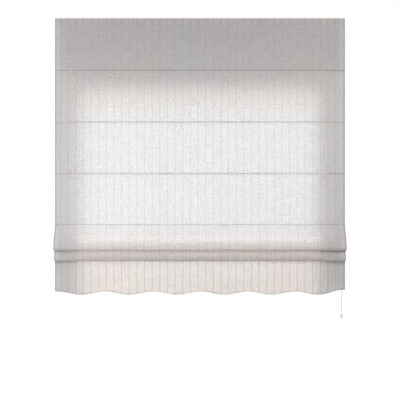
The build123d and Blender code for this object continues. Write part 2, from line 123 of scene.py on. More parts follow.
# Moulded fittings: end caps, cord guides, lock housing and the connector of the cords.
# Injection-moulded acetal, off-white, with the faint orange-peel that a spark-eroded mould leaves.
moulded, tree = new_material("white_acetal")
place = add(tree, "ShaderNodeTexCoord").outputs["Object"]
peel = add(tree, "ShaderNodeTexNoise", Vector=place, Scale=1 / (0.9 * MM), Detail=4.0, Roughness=0.6)
cloud = add(tree, "ShaderNodeTexNoise", Vector=place, Scale=1 / (14 * MM), Detail=2.0)
tone = two_tone(tree, cloud.outputs["Fac"], "#E3E2DE", "#F0EFEC")
gloss = add(tree, "ShaderNodeMapRange", Value=peel.outputs["Fac"], To_Min=0.32, To_Max=0.5)
relief = add(tree, "ShaderNodeBump", Height=peel.outputs["Fac"], Strength=0.3, Distance=0.06 * MM)
plastic = add(
    tree, "ShaderNodeBsdfPrincipled", IOR=1.48,
    Base_Color=tone, Roughness=gloss.outputs[0], Normal=relief.outputs[0],
)
add(tree, "ShaderNodeOutputMaterial", Surface=plastic.outputs[0])
guides = [f"cord_guide_{n}" for n in range(1, 5)]
dress(moulded, "end_cap_left", "end_cap_right", "lock_housing", "cord_connector", *guides)

# Wall brackets, bolts, nuts and the lock's axle: pressed and turned steel, zinc plated.
# Bright zinc has a cool grey with a cloudy spangle, and is duller in patches.
zinc, tree = new_material("zinc_plated_steel")
place = add(tree, "ShaderNodeTexCoord").outputs["Object"]
spangle = add(tree, "ShaderNodeTexVoronoi", Vector=place, Scale=1 / (3 * MM))
haze = add(tree, "ShaderNodeTexNoise", Vector=place, Scale=1 / (9 * MM), Detail=4.0)
tone = two_tone(tree, haze.outputs["Fac"], "#A9ACB0", "#C6C8CB")
gloss = add(tree, "ShaderNodeMapRange", Value=haze.outputs["Fac"], To_Min=0.24, To_Max=0.5)
relief = add(tree, "ShaderNodeBump", Height=spangle.outputs["Distance"], Strength=0.08, Distance=0.1 * MM)
metal = add(
    tree, "ShaderNodeBsdfPrincipled", Metallic=1.0,
    Base_Color=tone, Roughness=gloss.outputs[0], Normal=relief.outputs[0],
)
add(tree, "ShaderNodeOutputMaterial", Surface=metal.outputs[0])
dress(zinc, "bracket_left", "bracket_middle", "bracket_right", "bracket_bolts", "bracket_nuts", "lock_axle")

# Cord lock's moving pieces: a grey acetal pulley and a knurled brass roller that jams the cords.
# The pulley's gloss is uneven from wear; the brass is left bare, so it has tarnished brown in patches.
pulley_grey, tree = new_material("grey_acetal")
place = add(tree, "ShaderNodeTexCoord").outputs["Object"]
rub = add(tree, "ShaderNodeTexNoise", Vector=place, Scale=1 / (1.5 * MM), Detail=3.0)
tone = two_tone(tree, rub.outputs["Fac"], "#9C9C9B", "#B4B4B2")
gloss = add(tree, "ShaderNodeMapRange", Value=rub.outputs["Fac"], To_Min=0.25, To_Max=0.42)
plastic = add(
    tree, "ShaderNodeBsdfPrincipled", IOR=1.48, Base_Color=tone, Roughness=gloss.outputs[0],
)
add(tree, "ShaderNodeOutputMaterial", Surface=plastic.outputs[0])
dress(pulley_grey, "lock_pulley")

brass, tree = new_material("turned_brass")
place = add(tree, "ShaderNodeTexCoord").outputs["Object"]
tarnish = add(tree, "ShaderNodeTexNoise", Vector=place, Scale=1 / (2 * MM), Detail=5.0)
tone = two_tone(tree, tarnish.outputs["Fac"], "#A5803F", "#D2AE66")
gloss = add(tree, "ShaderNodeMapRange", Value=tarnish.outputs["Fac"], To_Min=0.2, To_Max=0.4)
metal = add(
    tree, "ShaderNodeBsdfPrincipled", Metallic=1.0, Base_Color=tone, Roughness=gloss.outputs[0],
)
add(tree, "ShaderNodeOutputMaterial", Surface=metal.outputs[0])
dress(brass, "lock_roller")

# Touch tape: a nylon hook tape stuck to the rail's face and a loop tape sewn behind the heading.
# Woven ground with a fleecy nap, which breaks up its edges.
nap, tree = new_material("nylon_touch_tape")
place = add(tree, "ShaderNodeTexCoord").outputs["Object"]
fleece = add(tree, "ShaderNodeTexNoise", Vector=place, Scale=1 / (0.8 * MM), Detail=5.0, Roughness=0.7)
tone = two_tone(tree, fleece.outputs["Fac"], "#D6D5D0", "#EEEDE9")
relief = add(tree, "ShaderNodeBump", Height=fleece.outputs["Fac"], Strength=0.8, Distance=0.4 * MM)
felt = add(
    tree, "ShaderNodeBsdfPrincipled", Roughness=0.95, Sheen_Weight=0.3,
    Base_Color=tone, Normal=relief.outputs[0],
)
add(tree, "ShaderNodeOutputMaterial", Surface=felt.outputs[0])


def new_piece(name, points, faces, material):
    """Smooth mesh piece from its points and faces."""
    mesh = bpy.data.meshes.new(name)
    mesh.from_pydata(points, [], faces)
    mesh.polygons.foreach_set("use_smooth", [True] * len(mesh.polygons))
    mesh.materials.append(material)
    piece = bpy.data.objects.new(name, mesh)
    bpy.context.collection.objects.link(piece)
    return piece


def grid_faces(rows, columns, closed=False):
    """Faces of a grid of points listed row by row. A closed grid joins its last row to its first."""
    faces = []
    for row in range(rows if closed else rows - 1):
        below = (row + 1) % rows
        for column in range(columns - 1):
            faces.append((
                row * columns + column, below * columns + column,
                below * columns + column + 1, row * columns + column + 1,
            ))
    return faces


def crisp_rim(piece, rows, columns):
    """Keep the outer edges of a grid sharp, so a sheet's faces aren't shaded round its rim."""
    for edge in piece.data.edges:
        a, b = edge.vertices
        along_row = a // columns == b // columns and a // columns in (0, rows - 1)
        along_column = a % columns == b % columns and a % columns in (0, columns - 1)
        edge.use_edge_sharp = along_row or along_column


def end_faces(rows, columns):
    """Faces that close both ends of a closed grid."""
    first = [row * columns for row in range(rows)]
    last = [row * columns + columns - 1 for row in range(rows)]
    return [first, last[::-1]]


nap_height = 0.12 * MM
nap_steps = 420
nap_clearance = 0.1 * MM
fine_wave, slow_wave = 1.7, 0.37
for name, slant in (("hook_tape", 0.9), ("loop_tape", -0.7)):
    low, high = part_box(name)
    front, back = low.y + nap_clearance, high.y - nap_clearance
    outline = [
        (front, high.z), (front, (low.z + high.z) / 2), (front, low.z),
        (back, low.z), (back, (low.z + high.z) / 2), (back, high.z),
    ]
    points = []
    for turn, (y, z) in enumerate(outline):
        for step in range(nap_steps + 1):
            x = low.x + (high.x - low.x) * step / nap_steps
            ruffle = nap_height * sin(step * fine_wave + turn * slant) * sin(step * slow_wave)
            points.append((x, y, z + ruffle))
    count = nap_steps + 1
    faces = grid_faces(len(outline), count, closed=True) + end_faces(len(outline), count)
    tape = new_piece(name + "_woven", points, faces, nap)
    tape.data.polygons.foreach_set("use_smooth", [False] * len(tape.data.polygons))
    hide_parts(name)
    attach(tape, "head")

# Linen: one hemmed width of slubbed linen with fine tan pinstripes woven in, sewn along each rod line.
# Light comes through the weave, so it glows against daylight and greys where it hangs double.
# Its stripes are painted with a strength per part of the cloth that stands for the light on it, as painted
# light and shade: stronger stripes are painted greyer, fainter ones tan.
stripe_pitch = 34.3 * MM
first_stripe = -626.4 * MM
stripe_half = 2.1 * MM
stripe_core, stripe_fray = 0.55, 1.35
side_hem = 22 * MM
cloth_half = 650 * MM
cloth_back = -31.5 * MM
cloth_thickness = 0.8 * MM
weft_slub = (60 * MM, 5 * MM)
warp_slub = (5 * MM, 50 * MM)
mottle_size = 8 * MM
yarn_share, mottle_share = 0.5, 0.8
hem_blur = 1 * MM
# How much paler the cloth over the side hems is painted, as painted light.
hem_light_share = 0.35
# Painted shade along both side edges of the cloth: where it is full, where it has gone, and how grey it is.
edge_shade_from, edge_shade_to = 0.5 * MM, 5 * MM
edge_shade_grey = 0.8
see_through = 0.64

linen, tree = new_material("striped_linen")
cloth_place = add(tree, "ShaderNodeUVMap", {"uv_map": "cloth"}).outputs[0]
across = add(tree, "ShaderNodeSeparateXYZ", Vector=cloth_place).outputs[0]
slubs = []
for size in (weft_slub, warp_slub):
    stretched = add(tree, "ShaderNodeMapping", Vector=cloth_place, Scale=(1 / size[0], 1 / size[1], 1.0))
    slubs.append(add(
        tree, "ShaderNodeTexNoise", Vector=stretched.outputs[0], Scale=1.0, Detail=3.0, Roughness=0.62,
    ).outputs["Fac"])
mottle = add(tree, "ShaderNodeTexNoise", Vector=cloth_place, Scale=1 / mottle_size, Detail=2.0)
yarns = add(tree, "ShaderNodeMath", {"operation": "ADD"}, in_0=slubs[0], in_1=slubs[1])
grain = add(tree, "ShaderNodeMath", {"operation": "MULTIPLY"}, in_0=yarns.outputs[0], in_1=yarn_share)
weave = add(
    tree, "ShaderNodeMath", {"operation": "MULTIPLY_ADD"},
    in_0=mottle.outputs["Fac"], in_1=mottle_share, in_2=grain.outputs[0],
)
shade = add(tree, "ShaderNodeMapRange", Value=weave.outputs[0], From_Min=0.6, From_Max=1.2)
ground = two_tone(tree, shade.outputs[0], "#E0DEDD", "#FBF9F8")
from_stripe = add(tree, "ShaderNodeMath", {"operation": "SUBTRACT"}, in_0=across, in_1=first_stripe)
off_stripe = add(
    tree, "ShaderNodeMath", {"operation": "PINGPONG"}, in_0=from_stripe.outputs[0], in_1=stripe_pitch / 2,
)
stripe_band = add(
    tree, "ShaderNodeMapRange", {"interpolation_type": "SMOOTHSTEP"}, Value=off_stripe.outputs[0],
    From_Min=stripe_core * stripe_half, From_Max=stripe_fray * stripe_half, To_Min=1.0, To_Max=0.0,
)
# Painted light: stripe_strength, set per piece and level, stands for the light falling there.
painted_stripe_light = add(tree, "ShaderNodeAttribute", {"attribute_name": "stripe_strength"}).outputs["Fac"]
patchy = add(
    tree, "ShaderNodeMapRange", Value=mottle.outputs["Fac"],
    From_Min=0.3, From_Max=0.7, To_Min=0.45, To_Max=1.35,
)
stripe = stripe_band.outputs[0]
for weight in (painted_stripe_light, patchy.outputs[0]):
    stripe = add(tree, "ShaderNodeMath", {"operation": "MULTIPLY"}, in_0=stripe, in_1=weight).outputs[0]
# Painted light and shade: stronger stripes are painted greyer, fainter ones tan.
shaded = add(tree, "ShaderNodeMapRange", Value=painted_stripe_light, From_Min=0.3, From_Max=0.7)
stripe_tone = two_tone(tree, shaded.outputs[0], "#E7D0B7", "#DBCFC5")
off_middle = add(tree, "ShaderNodeMath", {"operation": "ABSOLUTE"}, in_0=across)
# Painted light: the cloth over the side hems, where it hangs double, is painted paler towards #FFFDFB.
hem_inside = cloth_half - side_hem
painted_hem_light = add(
    tree, "ShaderNodeMapRange", Value=off_middle.outputs[0],
    From_Min=hem_inside - hem_blur, From_Max=hem_inside + hem_blur, To_Min=0.0, To_Max=hem_light_share,
)
# Painted shade: along the sewn rod lines the cloth is darkened towards #8F857B, by a point attribute that
# new_sheet sets.
crease_shade = add(tree, "ShaderNodeAttribute", {"attribute_name": "crease_shade"}).outputs["Fac"]
from_edge = add(
    tree, "ShaderNodeMath", {"operation": "SUBTRACT"}, in_0=off_middle.outputs[0], in_1=cloth_half,
)
off_edge = add(tree, "ShaderNodeMath", {"operation": "ABSOLUTE"}, in_0=from_edge.outputs[0])
# Painted shade: a grey line, towards #BDBBB9, painted along both side edges of the cloth.
painted_edge_shade = add(
    tree, "ShaderNodeMapRange", Value=off_edge.outputs[0],
    From_Min=edge_shade_from, From_Max=edge_shade_to, To_Min=edge_shade_grey, To_Max=0.0,
)
cloth_tone = ground
for share, colour in (
    (stripe, stripe_tone), (painted_hem_light.outputs[0], paint("#FFFDFB")),
    (crease_shade, paint("#8F857B")), (painted_edge_shade.outputs[0], paint("#BDBBB9")),
):
    cloth_tone = add(
        tree, "ShaderNodeMix", {"data_type": "RGBA"}, in_0=share, in_6=cloth_tone, in_7=colour,
    ).outputs[2]
relief = add(tree, "ShaderNodeBump", Height=weave.outputs[0], Strength=0.5, Distance=0.5 * MM)
matt = add(
    tree, "ShaderNodeBsdfPrincipled", Roughness=0.92, Specular_IOR_Level=0.2, Sheen_Weight=0.08,
    Base_Color=cloth_tone, Normal=relief.outputs[0],
)
glow = add(tree, "ShaderNodeBsdfTranslucent", Color=cloth_tone, Normal=relief.outputs[0])
thin_cloth = add(tree, "ShaderNodeMixShader", Fac=see_through, in_1=matt.outputs[0], in_2=glow.outputs[0])
add(tree, "ShaderNodeOutputMaterial", Surface=thin_cloth.outputs[0])

# Rim of the linen: the rim faces of each piece of cloth are painted near white, lighter than the linen.
# They pass light on, so no dark line of shade shows where two pieces meet.
rim_fill, tree = new_material("linen_rim_fill")
place = add(tree, "ShaderNodeTexCoord").outputs["Object"]
rim_speckle = add(tree, "ShaderNodeTexNoise", Vector=place, Scale=1 / (1.5 * MM), Detail=2.0)
tone = two_tone(tree, rim_speckle.outputs["Fac"], "#FCFCFC", "#FFFFFF")
matt = add(tree, "ShaderNodeBsdfDiffuse", Color=tone)
glow = add(tree, "ShaderNodeBsdfTranslucent", Color=tone)
rim_passes_light = add(tree, "ShaderNodeMixShader", Fac=0.5, in_1=matt.outputs[0], in_2=glow.outputs[0])
add(tree, "ShaderNodeOutputMaterial", Surface=rim_passes_light.outputs[0])

# The cloth is one grid of points per piece: columns across, with a hem turned back at each side,
# and rows down a path. The ends of the rod lines hang a little lower, as the hems weigh on them.
hem_lift = 0.08 * MM
hem_turn = 1.6 * MM
turn_half = cloth_half - cloth_thickness
column_step = 10 * MM
inner = [-cloth_half + column_step * n for n in range(1, round(2 * cloth_half / column_step))]
front_columns = [-cloth_half + hem_turn, *inner, cloth_half - hem_turn]
right_hem = [(turn_half, hem_lift / 2), (cloth_half - hem_turn, hem_lift), (hem_inside, hem_lift)]
left_hem = [(-x, lift) for x, lift in reversed(right_hem)]
columns = left_hem + [(x, 0.0) for x in front_columns] + right_hem
hem_columns = len(right_hem)
# Painted shade along the sewn rod lines: how far it reaches from a line, where it changes towards the ends,
# and none.
crease_shade_reach = 2.4 * MM
crease_shade_ends = (550 * MM, 590 * MM)
no_crease_shade = (0.0, 0.0, 0.0)
droop_reach = 125 * MM
heading_top = 39 * MM
heading_low = 9 * MM
rod_lines = [z * MM for z in (-194.5, -425.5, -656.5, -887.5, -963.5, -987.5)]
end_droops = [z * MM for z in (1.5, 5.0, 3.0, 2.3, 2.0, 2.0)]
slow_ripple, quick_ripple = (0.6, 610 * MM, 2.1), (0.4, 270 * MM, 3.7)


def smooth(low, high, value):
    """Smooth step from 0 at low to 1 at high."""
    share = min(1.0, max(0.0, (value - low) / (high - low)))
    return share * share * (3 - 2 * share)


def droop(x, z):
    """How far the cloth at a level hangs lower at its ends, worked out between the rod lines."""
    levels, depths = [heading_low, *rod_lines], [0.0, *end_droops]
    depth = depths[0] if z > levels[0] else depths[-1]
    for high, low, upper, lower in zip(levels, levels[1:], depths, depths[1:]):
        if low <= z <= high:
            depth = lower + (upper - lower) * (z - low) / (high - low)
    return depth * smooth(cloth_half - droop_reach, cloth_half, abs(x))


def ripple(x, seed):
    """Slow unevenness of hand-hung cloth, from -1 to 1. The seed shifts its two waves."""
    return sum(
        height * sin(tau * x / wave + offset * seed) for height, wave, offset in (slow_ripple, quick_ripple)
    )


def crease_shade_at(x, left, middle, right):
    """How dark the painted shade along a sewn rod line is at x, from its darkness at both ends of the line
    and along its middle.
    """
    return middle + ((left if x < 0 else right) - middle) * smooth(*crease_shade_ends, abs(x))


def lengths_along(path):
    """How far along a path of (y, z) points each of them lies."""
    lengths = [0.0]
    for (y0, z0), (y1, z1) in zip(path, path[1:]):
        lengths.append(lengths[-1] + sqrt((y1 - y0) ** 2 + (z1 - z0) ** 2))
    return lengths


def new_sheet(name, path, start, strength, shape, seam_shades=(no_crease_shade, no_crease_shade)):
    """Sheet of linen along a path of (y, z) points, whose first point lies start down the whole cloth.

    strength says how much the stripes show at an x and a row of the path, painted to stand for the light
    there, and shape how far that point shifts in y and z. The last argument says how dark the painted shade
    is along the first and the last edge, where the sheet is sewn to a rod pocket. The sheet comes back with
    its length.
    """
    lengths = lengths_along(path)
    points, places, strengths, crease_shades = [], [], [], []
    for row, (y, z) in enumerate(path):
        before, after = path[max(row - 1, 0)], path[min(row + 1, len(path) - 1)]
        step_y, step_z = after[0] - before[0], after[1] - before[1]
        step = sqrt(step_y**2 + step_z**2)
        back_y, back_z = -step_z / step, step_y / step
        for number, (x, lift) in enumerate(columns):
            shift_y, shift_z = shape(x, row)
            points.append((x, y + back_y * lift + shift_y, z + back_z * lift + shift_z))
            u = x
            if number < hem_columns - 1:
                u = -2 * cloth_half - x
            if number > len(columns) - hem_columns:
                u = 2 * cloth_half - x
            places.append((u, -(start + lengths[row])))
            strengths.append(strength(x, row))
            from_ends = (lengths[row], lengths[-1] - lengths[row])
            crease_shades.append(max(
                crease_shade_at(x, *dark) * (1 - smooth(0.0, crease_shade_reach, far))
                for dark, far in zip(seam_shades, from_ends)
            ))
    piece = new_piece(name, points, grid_faces(len(path), len(columns)), linen)
    layer = piece.data.uv_layers.new(name="cloth")
    for loop in piece.data.loops:
        layer.data[loop.index].uv = places[loop.vertex_index]
    stripe_light_layer = piece.data.attributes.new("stripe_strength", "FLOAT", "POINT")
    stripe_light_layer.data.foreach_set("value", strengths)
    crease_shading = piece.data.attributes.new("crease_shade", "FLOAT", "POINT")
    crease_shading.data.foreach_set("value", crease_shades)
    crisp_rim(piece, len(path), len(columns))
    piece.data.materials.append(rim_fill)
    wall = piece.modifiers.new("thickness", "SOLIDIFY")
    wall.thickness = cloth_thickness
    wall.offset = 1.0
    wall.material_offset_rim = 1
    return piece, lengths[-1]


# Flat pleats: the linen hangs from rod to rod with a slight forward swell. Each is two pieces, the front
# and the return that rises behind it when the blind is drawn up.
# How dark the painted shade is along rod lines 1 to 4, at the left end, along the middle and at the right
# end.
line_crease_shades = ((0.33, 0.5, 0.65), (0.29, 0.26, 0.44), (0.4, 0.2, 0.6), (0.85, 0.42, 1.0))
pleat_swells = [y * MM for y in (2.5, 1.6, 0.8, 0.3)]
return_rise = 93 * MM
ripple_depth = 1.3 * MM
pleat_seed = 2
row_step = 9 * MM
crease_rows = (2.5 * MM, 1.1 * MM)
# Painted light in the stripes of the flat cloth: their strength in the heading and in shade, the gain where
# daylight comes through, and where that gain starts and is full.
heading_stripes, shade_stripes, daylight_gain = 0.6, 0.26, 0.16
daylight_from, daylight_full = -150 * MM, -330 * MM


def swell(z, high, low):
    """How much of its full swell a pleat between two levels has at z."""
    share = min(1.0, max(0.0, (high - z) / (high - low)))
    return 4 * share * (1 - share)


def level_strength(z):
    """How much the stripes show at a level of the flat cloth, painted as a stand-in for the light there."""
    if z > heading_low:
        return heading_stripes
    return shade_stripes + daylight_gain * smooth(daylight_from, daylight_full, z)


cloth_run = 0.0
for n in range(1, 5):
    top = heading_top if n == 1 else rod_lines[n - 2]
    high = heading_low if n == 1 else top
    low = rod_lines[n - 1]
    turn = low + return_rise
    count = round((top - low) / row_step)
    levels = [top + (low - top) * step / count for step in range(count + 1)]
    nearest = min(range(1, count), key=lambda step: abs(levels[step] - turn))
    levels[nearest] = turn
    levels[-1:-1] = [low + off for off in crease_rows]
    if n > 1:
        levels[1:1] = [top - off for off in reversed(crease_rows)]
        nearest += len(crease_rows)
    whole = [(cloth_back - pleat_swells[n - 1] * swell(z, high, low), z) for z in levels]
    for kind, part in (("panel", whole[:nearest + 1]), ("return", whole[nearest:])):
        def shape(x, row, part=part, high=high, low=low):
            z = part[row][1]
            return -ripple_depth * swell(z, high, low) * ripple(x, pleat_seed), -droop(x, z)

        def strength(x, row, part=part):
            return level_strength(part[row][1])

        above = line_crease_shades[n - 2] if n > 1 else no_crease_shade
        seam_shades = (above, no_crease_shade) if kind == "panel" else (no_crease_shade, line_crease_shades[n - 1])
        piece, length = new_sheet(f"{kind}_{n}_linen", part, cloth_run, strength, shape, seam_shades)
        cloth_run += length
        upper = "head" if n == 1 else f"pleat_{n - 1}"
        if kind == "panel":
            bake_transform(piece)
        else:
            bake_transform(piece)
        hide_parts(f"{kind}_{n}")

# Gathered folds: the two lowest pleats are drawn up, so their cloth bellies forward and doubles back
# to the rod behind. The upper one hangs furthest out and covers the top of the lower one.
fold_fronts = [
    [(-31.5, -887.5), (-39, -905), (-50, -930), (-62, -958), (-69, -980), (-68, -993), (-62, -999)],
    [
        (-31.5, -963.5), (-36, -972), (-41, -983), (-46.5, -1000),
        (-50.5, -1022), (-51.5, -1038), (-48.5, -1047), (-43, -1049.5),
    ],
]
fold_returns = [
    [(-62, -999), (-55, -997.5), (-47, -988), (-40, -974), (-33.4, -963.5)],
    [(-43, -1049.5), (-39.5, -1046), (-36.5, -1030), (-34.6, -1008), (-33.4, -987.5)],
]
fold_ripple = 1.6 * MM
rise_share = 0.5
rise_seed = 3


def flowing(knots, spans=7):
    """Points of a smooth curve through knots given in millimetres."""
    first = [2 * a - b for a, b in zip(knots[0], knots[1])]
    last = [2 * a - b for a, b in zip(knots[-1], knots[-2])]
    ring = [first, *knots, last]
    curve = []
    for p, q, r, s in zip(ring, ring[1:], ring[2:], ring[3:]):
        for step in range(spans):
            t = step / spans
            curve.append([
                MM / 2 * (
                    2 * b + (c - a) * t + (2 * a - 5 * b + 4 * c - d) * t**2
                    + (3 * b - a - 3 * c + d) * t**3
                )
                for a, b, c, d in zip(p, q, r, s)
            ])
    return curve + [[value * MM for value in knots[-1]]]


def painted_dim_ends(most, loss, start):
    """Strength of stripes painted fainter towards both ends of a piece, as painted shade where no light
    comes through.
    """
    def strength(x, row):
        return most - loss * smooth(start, cloth_half, abs(x))

    return strength


# Painted light: the stripes of the folds are painted fainter at their shaded ends.
fold_strength = painted_dim_ends(most=0.36, loss=0.22, start=540 * MM)
for n, front_knots, return_knots in zip((5, 6), fold_fronts, fold_returns):
    turning_points = (front_knots[0], front_knots[-1], return_knots[-1])
    upper, turn, lower = [(0, y * MM, z * MM) for y, z in turning_points]
    for kind, part in (("fold", flowing(front_knots)), ("return", flowing(return_knots))):
        def shape(x, row, kind=kind, part=part, n=n):
            share = row / (len(part) - 1)
            sway = fold_ripple * smooth(0, 1, share if kind == "fold" else 1 - share)
            rise = rise_share * sway * ripple(x, n + rise_seed)
            return -sway * ripple(x, n), rise - droop(x, part[row][1])

        node = f"fold_{n - 4}" if kind == "fold" else f"return_{n}"
        piece, length = new_sheet(node + "_linen", part, cloth_run, fold_strength, shape)
        cloth_run += length
        if kind == "fold":
            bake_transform(piece)
            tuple(upper)
            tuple(turn)
        else:
            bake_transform(piece)
            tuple(turn)
            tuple(lower)
        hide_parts(node)

# Valance: the cloth below the bottom bar hangs free. Its lower edge is cut in six shallow scallops
# and finished with a narrow rolled hem; the right end has pulled up a little.
hem_low = -1201 * MM
hem_depth = 15 * MM
hem_wave = 213.2 * MM
hem_half = 3 * hem_wave
hem_middle = 1.3 * MM
hem_end_rise = 8 * MM
roll_width = 1.2 * MM
roll_lift, roll_sag = 0.1 * MM, 0.03 * MM
valance_sway = 2.2 * MM
sway_growth = 1.5
scallop_share, ripple_share = 0.7, 0.3
valance_seed = 9
drop_rows = 24
bottom_line = rod_lines[-1]


def hem_rise(x):
    """Height of the hem above its lowest points."""
    from_middle = max(-hem_half, min(hem_half, x - hem_middle))
    wave = hem_depth * (1 + cos(tau * from_middle / hem_wave)) / 2
    return wave + hem_end_rise * smooth(hem_half - hem_wave / 2, hem_half, from_middle)


def valance_shape(x, row):
    """Sway of the valance towards the room, and the rise of its hem, which both grow from the bar down."""
    share = min(row / drop_rows, 1.0)
    waves = scallop_share * cos(tau * x / hem_wave) + ripple_share * ripple(x, valance_seed)
    rise = share * hem_rise(x) - (1 - share) * droop(x, bottom_line)
    return -valance_sway * share**sway_growth * waves, rise


drops = [bottom_line + (hem_low - bottom_line) * row / drop_rows for row in range(drop_rows + 1)]
valance_path = [(cloth_back, z) for z in drops]
valance_path += [
    (cloth_back + roll_lift / 2, hem_low - roll_sag),
    (cloth_back + roll_lift, hem_low),
    (cloth_back + roll_lift, hem_low + roll_width),
]
# Painted light: the valance's stripes are painted fainter towards its shaded ends.
valance_strength = painted_dim_ends(most=0.68, loss=0.48, start=560 * MM)
valance, length = new_sheet("valance_linen", valance_path, cloth_run, valance_strength, valance_shape)
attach(valance, "bottom")
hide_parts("valance")

# Rod pockets: sheer polyester tape, folded round each rod and sewn to the back of the linen.
# It is thin enough that a rod line shows from the room only as a fine darker line.
sheer, tree = new_material("sheer_polyester_tape")
place = add(tree, "ShaderNodeTexCoord").outputs["Object"]
tape_thread = (1.2 * MM, 0.9 * MM, 0.9 * MM)
threads = add(tree, "ShaderNodeMapping", Vector=place, Scale=[1 / size for size in tape_thread])
mesh_noise = add(tree, "ShaderNodeTexNoise", Vector=threads.outputs[0], Scale=1.0, Detail=2.0)
tone = two_tone(tree, mesh_noise.outputs["Fac"], "#E9E6E0", "#F7F5F1")
relief = add(tree, "ShaderNodeBump", Height=mesh_noise.outputs["Fac"], Strength=0.4, Distance=0.1 * MM)
matt = add(
    tree, "ShaderNodeBsdfPrincipled", Roughness=0.7, Sheen_Weight=0.1,
    Base_Color=tone, Normal=relief.outputs[0],
)
glow = add(tree, "ShaderNodeBsdfTranslucent", Color=tone, Normal=relief.outputs[0])
tape_glow, hole_share = 0.72, 0.82
thin = add(tree, "ShaderNodeMixShader", Fac=tape_glow, in_1=matt.outputs[0], in_2=glow.outputs[0])
holes = add(tree, "ShaderNodeBsdfTransparent")
open_weave = add(tree, "ShaderNodeMixShader", Fac=hole_share, in_1=thin.outputs[0], in_2=holes.outputs[0])
add(tree, "ShaderNodeOutputMaterial", Surface=open_weave.outputs[0])

rod_y = -28.9 * MM
loop_drop = 3.6 * MM
loop_radius = 2.4 * MM
tab_front, tab_back = -31.3 * MM, -30.9 * MM
tab_rise = 1.0 * MM
tape_thickness = 0.36 * MM
pocket_half = 624 * MM
pocket_steps = 104


def tape_sheet(name, path, line, body, node):
    """Folded tape along a path of (y, z) points, sewn on at a rod line, which stands for its node."""
    across_tape = [pocket_half * (2 * step / pocket_steps - 1) for step in range(pocket_steps + 1)]
    points = [(x, y, z - droop(x, line)) for y, z in path for x in across_tape]
    piece = new_piece(name, points, grid_faces(len(path), len(across_tape)), sheer)
    crisp_rim(piece, len(path), len(across_tape))
    wall = piece.modifiers.new("thickness", "SOLIDIFY")
    wall.thickness = tape_thickness
    wall.offset = 0.0
    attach(piece, body)
    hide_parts(node)
    flat = (2 * pocket_half, lengths_along(path)[-1])


arc_steps = 14
arc_end = radians(140)
for n in range(1, 6):
    line = rod_lines[n - 1]
    path = [(tab_front, line + tab_rise), (tab_front, line - loop_drop / 2)]
    for step in range(arc_steps + 1):
        angle = pi + (pi + arc_end) * step / arc_steps
        path.append((rod_y + loop_radius * cos(angle), line - loop_drop + loop_radius * sin(angle)))
    path += [(tab_back, line - loop_drop / 3), (tab_back, line + tab_rise)]
    tape_sheet(f"pocket_{n}_tape", path, line, f"pleat_{n}", f"pocket_{n}")

# Rods and bottom bar: pultruded glass fibre, which lets light through and shows its strands along it.
# They slip into the pockets from the side, and keep each line of the blind straight.
fibre, tree = new_material("glass_fibre_rod")
place = add(tree, "ShaderNodeTexCoord").outputs["Object"]
strand = (120 * MM, 0.5 * MM, 0.5 * MM)
strands = add(tree, "ShaderNodeMapping", Vector=place, Scale=[1 / size for size in strand])
streak = add(tree, "ShaderNodeTexNoise", Vector=strands.outputs[0], Scale=1.0, Detail=3.0)
tone = two_tone(tree, streak.outputs["Fac"], "#E8E6DC", "#F8F7F1")
gloss = add(tree, "ShaderNodeMapRange", Value=streak.outputs["Fac"], To_Min=0.25, To_Max=0.45)
resin = add(
    tree, "ShaderNodeBsdfPrincipled", IOR=1.52, Base_Color=tone, Roughness=gloss.outputs[0],
)
glow = add(tree, "ShaderNodeBsdfTranslucent", Color=tone)
rod_glow, rod_clarity = 0.8, 0.65
lit_rod = add(tree, "ShaderNodeMixShader", Fac=rod_glow, in_1=resin.outputs[0], in_2=glow.outputs[0])
clear = add(tree, "ShaderNodeBsdfTransparent")
clear_rod = add(tree, "ShaderNodeMixShader", Fac=rod_clarity, in_1=lit_rod.outputs[0], in_2=clear.outputs[0])
add(tree, "ShaderNodeOutputMaterial", Surface=clear_rod.outputs[0])
dress(fibre, "bottom_bar", *[f"rod_{n}" for n in range(1, 6)])

# Bottom pocket: the flat bar lies in a tape pocket of its own, and its weight pulls the cloth straight.
# The tape is folded round it and closed along the top edge.
bar_front, bar_back = -31.3 * MM, -27.1 * MM
bar_top, bar_foot = bottom_line - 1.2 * MM, bottom_line - 26.4 * MM
corner = 1.2 * MM
corner_steps = 4
closing_gap = 0.5 * MM
path = [(bar_front, bar_top), (bar_front, bar_top - corner), (bar_front, (bar_top + bar_foot) / 2)]
for centre_y, centre_z, first_angle in (
    (bar_front + corner, bar_foot + corner, pi), (bar_back - corner, bar_foot + corner, 1.5 * pi),
    (bar_back - corner, bar_top - corner, 0.0),
):
    for step in range(corner_steps + 1):
        angle = first_angle + pi / 2 * step / corner_steps
        path.append((centre_y + corner * cos(angle), centre_z + corner * sin(angle)))
path.append((bar_front + closing_gap, bar_top))
tape_sheet("bottom_pocket_tape", path, bottom_line, "bottom", "bottom_pocket")

# Rings and cord balls: small clear acetal rings, sewn to each rod line, that the lift cords run through.
# The balls under the lowest rings tie the cords off.
ring_plastic, tree = new_material("clear_acetal")
place = add(tree, "ShaderNodeTexCoord").outputs["Object"]
swirl = add(tree, "ShaderNodeTexNoise", Vector=place, Scale=1 / (2.2 * MM), Detail=3.0)
tone = two_tone(tree, swirl.outputs["Fac"], "#E6E6E3", "#F5F5F3")
gloss = add(tree, "ShaderNodeMapRange", Value=swirl.outputs["Fac"], To_Min=0.2, To_Max=0.36)
plastic = add(
    tree, "ShaderNodeBsdfPrincipled", IOR=1.48, Base_Color=tone, Roughness=gloss.outputs[0],
)
glow = add(tree, "ShaderNodeBsdfTranslucent", Color=tone)
ring_glow = 0.55
lit_ring = add(tree, "ShaderNodeMixShader", Fac=ring_glow, in_1=plastic.outputs[0], in_2=glow.outputs[0])
add(tree, "ShaderNodeOutputMaterial", Surface=lit_ring.outputs[0])
